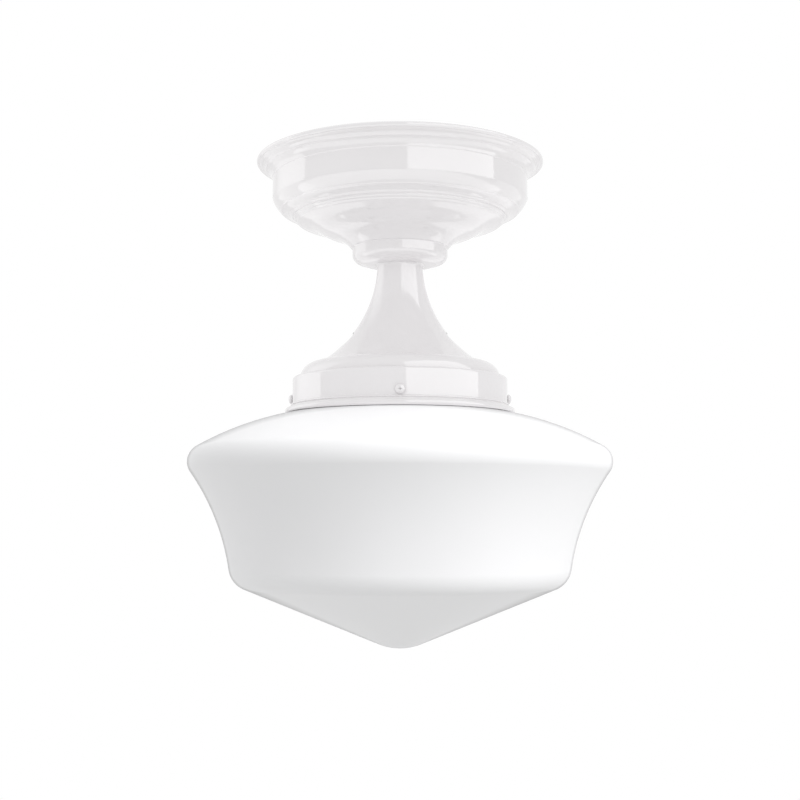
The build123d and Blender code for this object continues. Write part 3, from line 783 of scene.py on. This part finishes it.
class LIGHT_OT_shade(bpy.types.Operator):
    """Blows the shade: a lip, a short neck, a broad shoulder, flared sides and a conical foot"""

    bl_idname = "ceiling_light.shade"
    bl_label = "Opal Glass Shade"

    NECK_RADIUS = 70.5
    NECK_FOOT = -182.95
    FILLET = 3.2
    SHOULDER_START = radians(8.8)
    SHOULDER_END = radians(30)
    EDGE_ROUND = 12.5
    FLARE_START = radians(35)
    FLARE_END = radians(8.85)
    FLARE_ROUND = 165
    CORNER_ROUND = 17.5
    CONE = radians(22.3)
    TIP_ROUND = 42
    CONE_RINGS = 12
    EDGE_SOFTENING = 0.4

    def face(self, inset):
        """One face of the glass, from the neck's foot to the lowest point on the axis."""
        radius = sizes().shade_radius / MM
        reach = radius - self.NECK_RADIUS - self.FILLET * (1 - sin(self.SHOULDER_START))
        reach -= self.EDGE_ROUND * (1 - sin(self.SHOULDER_END))
        shoulder = reach / (sin(self.SHOULDER_END) - sin(self.SHOULDER_START))
        finest = radians(1)
        fine = radians(2)
        points = [(self.NECK_RADIUS - inset, self.NECK_FOOT)]
        neck_turn = radians(90) - self.SHOULDER_START
        heading = bend(points, radians(-90), self.FILLET + inset, neck_turn)
        shoulder_turn = self.SHOULDER_START - self.SHOULDER_END
        heading = bend(points, heading, shoulder - inset, shoulder_turn, finest)
        edge_turn = self.SHOULDER_END - radians(90) - self.FLARE_START
        heading = bend(points, heading, self.EDGE_ROUND - inset, edge_turn, fine)
        flare_turn = self.FLARE_START - self.FLARE_END
        heading = bend(points, heading, self.FLARE_ROUND + inset, flare_turn, finest)
        corner_turn = self.FLARE_END - radians(90) + self.CONE
        heading = bend(points, heading, self.CORNER_ROUND - inset, corner_turn, fine)
        tip_radius = self.TIP_ROUND - inset
        foot = points[-1]
        end = tip_radius * sin(self.CONE)
        for i in range(1, self.CONE_RINGS + 1):
            along = (foot[0] - end) * i / self.CONE_RINGS
            points.append((foot[0] - along, foot[1] - along * tan(self.CONE)))
        bend(points, heading, tip_radius, -self.CONE, fine)
        points[-1] = (0.0, points[-1][1])
        return points

    def execute(self, context):
        wall = sizes().glass_wall / MM
        outer = self.face(0)
        inner = self.face(wall)
        lip = outline(
            (66.5, -180.95),
            (66.5, -169.3),
            ((66.74, -168.74), (67.3, -168.5)),
            (73.6, -168.5),
            ((74.16, -168.74), (74.4, -169.3)),
            (74.4, -172.85),
            (70.5, -176.75),
        )
        shade = turned("opal_shade", inner[::-1] + lip + outer)
        soften(shade, self.EDGE_SOFTENING * MM)
        glass = material_named("blown_opal_glass", opal_glass)
        place(shade, glass, "shade", "opal_glass", "shade")
        return {"FINISHED"}


class LIGHT_OT_hardware(bpy.types.Operator):
    """Finishes the mounting bar, the threaded pipe, the nuts and the washers"""

    bl_idname = "ceiling_light.hardware"
    bl_label = "Hanging Hardware"

    def execute(self, context):
        dress(
            metal_material("bright_zinc_plate", finishes().zinc),
            "crossbar",
            "stem_pipe",
            "crossbar_lock_washer",
            "crossbar_locknut",
            "bushing_locknut",
            "neck_washer",
            "neck_locknut",
            "holder_washer",
            "holder_locknut",
        )
        dress(metal_material("green_dyed_plate", finishes().ground), "ground_screw")
        dress(enamel_material(), "collar_bushing")
        return {"FINISHED"}


class LIGHT_OT_socket(bpy.types.Operator):
    """Finishes the porcelain socket, its cap, its contacts and its screws"""

    bl_idname = "ceiling_light.socket"
    bl_label = "Lamp Socket"

    def execute(self, context):
        dress(material_named("glazed_porcelain", glazed_porcelain), "socket_body")
        zinc = metal_material("bright_zinc_plate", finishes().zinc)
        dress(zinc, "socket_cap", "socket_cap_screws")
        brass = metal_material("drawn_brass", finishes().brass)
        dress(brass, "socket_screw_shell", "socket_centre_contact", "socket_terminal_screws")
        return {"FINISHED"}


class LIGHT_OT_bulb(bpy.types.Operator):
    """Finishes the lamp: its base, its insulator, its housing and its frosted dome"""

    bl_idname = "ceiling_light.bulb"
    bl_label = "Lamp"

    def execute(self, context):
        base = metal_material("drawn_aluminium", finishes().base_metal)
        dress(base, "bulb_screw_base", "bulb_led_plate", "bulb_tip")
        dress(material_named("pressed_black_glass", black_glass), "bulb_insulator")
        housing = moulded_plastic("moulded_polycarbonate", tuple(finishes().plastic), 0.25, 0.35)
        dress(housing, "bulb_housing")
        diffuser = moulded_plastic("frosted_polycarbonate", tuple(finishes().frosted), 0.5, 0.65)
        dress(diffuser, "bulb_diffuser")
        return {"FINISHED"}


class LIGHT_OT_stage(bpy.types.Operator):
    """Sets the floor, the softboxes, the background and the camera"""

    bl_idname = "ceiling_light.stage"
    bl_label = "Stage"

    FLOOR_HEIGHT = -2.4
    FLOOR_SIZE = 4.0
    SOFTBOX_DISTANCE = 1.6
    FLOOR_CUTS = 4
    AMBIENT = 0.96

    # Each has its name, azimuth in degrees, height, width and height of its face, and radiance
    METAL_SOFTBOXES = (
        ("right_softbox", 47.4, 1.2, (2.8, 3.0), 2.55),
        ("left_softbox", -90, 1.2, (4.4, 3.0), 0.6),
        ("low_panel", 0, -0.7, (3.2, 3.2), 1.4),
        ("low_back_panel", 180, -1.1, (2.4, 1.0), 0.55),
        ("low_left_panel", -119.5, -0.87, (1.39, 1.24), 0.7),
        ("low_right_panel", 119.5, -0.87, (1.39, 1.24), 0.5),
    )
    GLASS_SOFTBOXES = (
        ("glass_key", 48, 0.6, (1.2, 0.3), 21.0),
        ("glass_top", 0, 1.4, (1.6, 1.6), 0.8),
    )
    LEFT_SOFTBOX_BACK = 2.2
    LEFT_SOFTBOX_SPREAD = radians(110)
    LOW_PANEL_PLACE = (-0.3, -1.05, -0.8)
    GLASS_TOP_PLACE = (-0.3, 0, 1.4)

    def receivers(self, name, objects):
        """A collection, outside the scene, of what a lamp lights."""
        group = bpy.data.collections.new(name)
        for lit in objects:
            group.objects.link(lit)
        return group

    def softbox(self, name, azimuth, height, size, radiance, lit, diffuse=True):
        """A rectangular softbox turned to the light's axis and hidden from the camera. Azimuth 0 is
        the camera's side. A radiance of 1 is as bright as the background."""
        data = bpy.data.lights.new(name, "AREA")
        data.shape = "RECTANGLE"
        data.size, data.size_y = size
        data.energy = radiance * pi * size[0] * size[1]
        lamp = bpy.data.objects.new(name, data)
        bpy.context.collection.objects.link(lamp)
        turn = radians(azimuth)
        reach = self.SOFTBOX_DISTANCE
        lamp.location = (reach * sin(turn), -reach * cos(turn), height)
        lamp.rotation_euler = (radians(90), 0, turn)
        lamp.visible_camera = False
        lamp.visible_diffuse = diffuse
        lamp.light_linking.receiver_collection = lit

    def world(self):
        """White to the camera and in reflections, and a softer white for what lights the object."""
        world = bpy.data.worlds.new("studio")
        bpy.context.scene.world = world
        world.use_nodes = True
        tree = world.node_tree
        tree.nodes.clear()
        path = add_node(tree, "ShaderNodeLightPath").outputs
        seen = add_node(tree, "ShaderNodeMath", {"operation": "MAXIMUM"})
        tree.links.new(path["Is Camera Ray"], seen.inputs[0])
        tree.links.new(path["Is Glossy Ray"], seen.inputs[1])
        shown = add_node(tree, "ShaderNodeMath", {"operation": "MAXIMUM"})
        tree.links.new(seen.outputs[0], shown.inputs[0])
        tree.links.new(path["Is Transmission Ray"], shown.inputs[1])
        strength = add_node(tree, "ShaderNodeMapRange", Value=shown.outputs[0])
        strength.inputs["To Min"].default_value = self.AMBIENT
        strength.inputs["To Max"].default_value = 1.0
        background = add_node(tree, "ShaderNodeBackground", Color=(1, 1, 1, 1))
        tree.links.new(strength.outputs["Result"], background.inputs["Strength"])
        output = add_node(tree, "ShaderNodeOutputWorld")
        tree.links.new(background.outputs["Background"], output.inputs["Surface"])

    def lamps(self):
        """Tall softboxes whose edges the gloss metal mirrors, pale panels low round it, and a key
        and a top softbox for the glass alone."""
        meshes = [lit for lit in bpy.context.scene.objects if lit.type == "MESH"]
        glass = self.receivers("lit_glass", [lit for lit in meshes if lit.name == "opal_shade"])
        metal = self.receivers("lit_metal", [lit for lit in meshes if lit.name != "opal_shade"])
        for name, azimuth, height, size, radiance in self.METAL_SOFTBOXES:
            self.softbox(name, azimuth, height, size, radiance, metal, False)
        left = bpy.data.objects["left_softbox"]
        left.location.y += self.LEFT_SOFTBOX_BACK
        left.data.spread = self.LEFT_SOFTBOX_SPREAD
        below = bpy.data.objects["low_panel"]
        below.location = self.LOW_PANEL_PLACE
        below.rotation_euler = (radians(180), 0, 0)
        for name, azimuth, height, size, radiance in self.GLASS_SOFTBOXES:
            self.softbox(name, azimuth, height, size, radiance, glass)
        top = bpy.data.objects["glass_top"]
        top.location = self.GLASS_TOP_PLACE
        top.rotation_euler = (0, 0, 0)

    def execute(self, context):
        self.lamps()
        bpy.ops.object.select_all(action="DESELECT")
        floor_middle = (0, 0, self.FLOOR_HEIGHT)
        bpy.ops.mesh.primitive_plane_add(size=self.FLOOR_SIZE, location=floor_middle)
        floor = context.object
        floor.name = "floor"
        bpy.ops.object.transform_apply(location=True)
        bpy.ops.object.mode_set(mode="EDIT")
        bpy.ops.mesh.subdivide(number_cuts=self.FLOOR_CUTS)
        bpy.ops.object.mode_set(mode="OBJECT")
        floor.data.materials.append(floor_paint())
        self.world()
        data = bpy.data.cameras.new("camera")
        data.sensor_width = SENSOR_MM
        data.lens = LENS_MM
        camera = bpy.data.objects.new("camera", data)
        context.collection.objects.link(camera)
        reach = CAMERA_DISTANCE_MM * MM
        height = LOOK_AT_MM * MM - reach * sin(CAMERA_TILT)
        camera.location = (0, -reach * cos(CAMERA_TILT), height)
        camera.rotation_euler = (radians(90) + CAMERA_TILT, 0, 0)
        context.scene.camera = camera
        context.scene.view_settings.view_transform = "Standard"
        return {"FINISHED"}


OPERATORS = (
    LIGHT_OT_canopy,
    LIGHT_OT_collar,
    LIGHT_OT_neck,
    LIGHT_OT_shade_holder,
    LIGHT_OT_glass_screws,
    LIGHT_OT_shade,
    LIGHT_OT_hardware,
    LIGHT_OT_socket,
    LIGHT_OT_bulb,
    LIGHT_OT_stage,
)


class LIGHT_PT_sidebar(bpy.types.Panel):
    """Lists the pieces, the sizes and the finishes"""

    bl_label = "Ceiling Light"
    bl_idname = "LIGHT_PT_sidebar"
    bl_space_type = "VIEW_3D"
    bl_region_type = "UI"
    bl_category = "Ceiling Light"

    def draw(self, context):
        for operator in OPERATORS:
            self.layout.operator(operator.bl_idname)
        for group in (context.scene.light_sizes, context.scene.light_finishes):
            box = self.layout.box()
            for name in group.bl_rna.properties.keys():
                if name not in {"rna_type", "name"}:
                    box.prop(group, name)


CLASSES = (LightSizes, LightFinishes) + OPERATORS + (LIGHT_PT_sidebar,)


def register():
    for cls in CLASSES:
        bpy.utils.register_class(cls)
    bpy.types.Scene.light_sizes = PointerProperty(type=LightSizes)
    bpy.types.Scene.light_finishes = PointerProperty(type=LightFinishes)


def unregister():
    del bpy.types.Scene.light_finishes
    del bpy.types.Scene.light_sizes
    for cls in reversed(CLASSES):
        bpy.utils.unregister_class(cls)


def main():
    """Makes every piece in order."""
    register()
    for operator in OPERATORS:
        group, name = operator.bl_idname.split(".")
        getattr(getattr(bpy.ops, group), name)()


if __name__ == "__main__":
    main()
